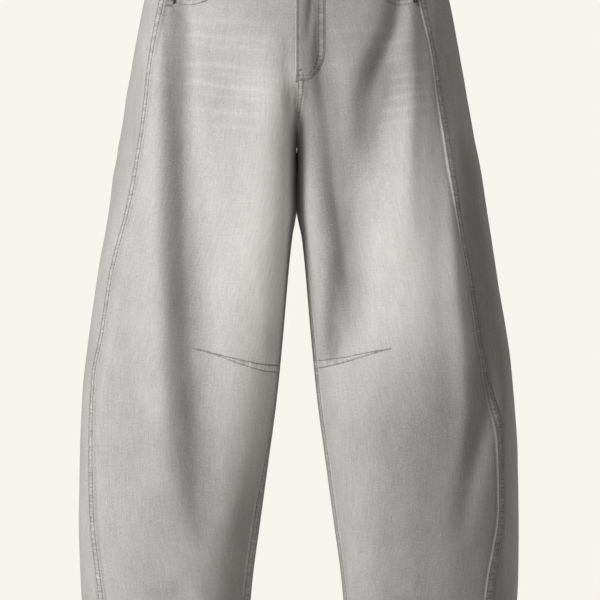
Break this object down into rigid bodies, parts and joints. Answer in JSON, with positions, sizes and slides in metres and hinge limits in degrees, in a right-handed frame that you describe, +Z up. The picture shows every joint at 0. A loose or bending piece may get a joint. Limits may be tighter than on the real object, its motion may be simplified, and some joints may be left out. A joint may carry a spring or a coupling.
{
  "type": "barrel-leg jeans",
  "caption": "Hollow barrel-leg denim jeans in worn form, with forward side seams, front scoop pockets, fly, waistband with loops, back yoke and patch pockets.",
  "frame": {"origin": "middle of the waistband's top edge, where the wearer's waist holds the trousers up", "axes": "+Z up, the front faces -Y, +X towards the wearer's left"},
  "size_m": [0.5497, 0.2584, 0.99],
  "materials": {
    "denim": "washed light grey twill denim",
    "denim_facing": "grey twill denim, less faded",
    "zip_tape": "woven tape",
    "metal": "dark antique metal"
  },
  "bodies": {
    "root": {"front_wearer_right": "denim", "back_wearer_right": "denim", "yoke_wearer_right": "denim", "facing_wearer_right": "denim_facing", "back_pocket_wearer_right": "denim", "rivet_wearer_right": "metal", "front_wearer_left": "denim", "back_wearer_left": "denim", "yoke_wearer_left": "denim", "facing_wearer_left": "denim_facing", "back_pocket_wearer_left": "denim", "rivet_wearer_left": "metal", "fly": "denim", "zip_tape": "zip_tape", "zip_slider": "metal", "waistband": "denim", "loop_front_wearer_right": "denim", "loop_front_wearer_left": "denim", "loop_back_wearer_right": "denim", "loop_back_wearer_left": "denim", "loop_back_middle": "denim", "waist_button": "metal"}
  },
  "joints": []
}
